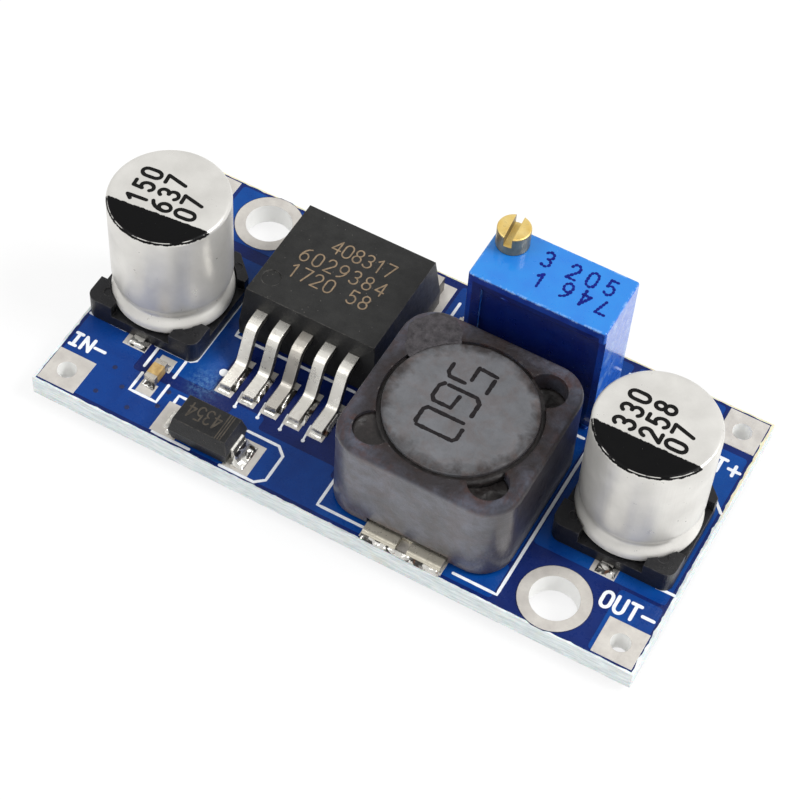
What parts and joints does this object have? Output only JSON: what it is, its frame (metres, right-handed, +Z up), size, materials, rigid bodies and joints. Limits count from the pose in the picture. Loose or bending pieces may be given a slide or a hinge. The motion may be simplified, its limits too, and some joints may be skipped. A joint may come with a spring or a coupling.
{
  "type": "buck converter module",
  "caption": "Step-down converter module: a blue board with regulator, shielded inductor, can capacitors and a turning trimmer screw.",
  "frame": {"origin": "under the middle of the board, in the plane of the trimmer's pin tips, the lowest points of the module", "axes": "+X from the input end to the output end, +Y from the edge with the diode to the edge with the trimmer, +Z up out of the component side"},
  "size_m": [0.0432, 0.0214, 0.0141],
  "materials": {
    "board_laminate": "glossy blue solder mask over pale glass laminate",
    "tinned_copper": "satin pale tin",
    "solder": "bright, slightly uneven solder",
    "can_aluminium": "satin drawn aluminium",
    "bung_rubber": "matt black rubber",
    "base_plastic": "black moulded plastic, slightly worn",
    "tinned_lead": "tin-plated lead, satin",
    "regulator_moulding": "matt charcoal moulding resin",
    "ferrite_shield": "sintered grey ferrite with brown handling marks on its edges",
    "ferrite_core": "ground grey ferrite",
    "enamelled_copper": "enamelled copper wire",
    "dark_glue": "dark cured glue",
    "terminal_metal": "tinned terminal with a warm tarnish",
    "diode_moulding": "dark moulding resin",
    "tan_ceramic": "tan fired ceramic",
    "dark_ceramic": "dark glazed chip",
    "chip_end_metal": "tinned end metal",
    "trimmer_plastic": "semi-gloss azure plastic",
    "screw_brass": "turned brass",
    "seal_rubber": "rubber",
    "wheel_plastic": "natural nylon",
    "wiper_brass": "spring metal",
    "white_ceramic": "white alumina",
    "potting_resin": "blue potting resin"
  },
  "bodies": {
    "module": {"printed_circuit_board": "board_laminate", "input_negative_pad": "tinned_copper", "input_positive_pad": "tinned_copper", "output_negative_pad": "tinned_copper", "output_positive_pad": "tinned_copper", "back_mounting_ring": "tinned_copper", "front_mounting_ring": "tinned_copper", "component_lands": "tinned_copper", "solder_joints": "solder", "input_capacitor_can": "can_aluminium", "input_capacitor_bung": "bung_rubber", "input_capacitor_base": "base_plastic", "input_capacitor_front_lead": "tinned_lead", "input_capacitor_back_lead": "tinned_lead", "output_capacitor_can": "can_aluminium", "output_capacitor_bung": "bung_rubber", "output_capacitor_base": "base_plastic", "output_capacitor_front_lead": "tinned_lead", "output_capacitor_back_lead": "tinned_lead", "regulator_body": "regulator_moulding", "regulator_heat_tab": "tinned_lead", "regulator_lead_1": "tinned_lead", "regulator_lead_2": "tinned_lead", "regulator_lead_4": "tinned_lead", "regulator_lead_5": "tinned_lead", "inductor_shield": "ferrite_shield", "inductor_core": "ferrite_core", "inductor_winding": "enamelled_copper", "inductor_glue": "dark_glue", "inductor_front_terminal": "terminal_metal", "inductor_back_terminal": "terminal_metal", "diode_body": "diode_moulding", "diode_left_lead": "tinned_lead", "diode_right_lead": "tinned_lead", "chip_capacitor_body": "tan_ceramic", "chip_capacitor_end_caps": "chip_end_metal", "chip_resistor_body": "dark_ceramic", "chip_resistor_end_caps": "chip_end_metal", "trimmer_housing": "trimmer_plastic", "trimmer_element": "white_ceramic", "trimmer_base": "potting_resin", "trimmer_pin_1": "tinned_lead", "trimmer_pin_2": "tinned_lead", "trimmer_pin_3": "tinned_lead"},
    "adjusting_screw": {"trimmer_screw": "screw_brass", "trimmer_seal_ring": "seal_rubber"},
    "worm_wheel": {"trimmer_worm_wheel": "wheel_plastic", "trimmer_wiper": "wiper_brass"}
  },
  "joints": [
    {"name": "screw_turn", "type": "hinge", "parent": "module", "child": "adjusting_screw", "pos_m": [0.00313, 0.00733, 0.0126], "axis": [0, 0, 1], "continuous": true},
    {"name": "wheel_turn", "type": "hinge", "parent": "module", "child": "worm_wheel", "pos_m": [0.00662, 0.00733, 0.00732], "axis": [0, 1, 0], "continuous": true}
  ],
  "couplings": [
    {"joint": "wheel_turn", "follows": "screw_turn", "ratio": -0.04}
  ]
}
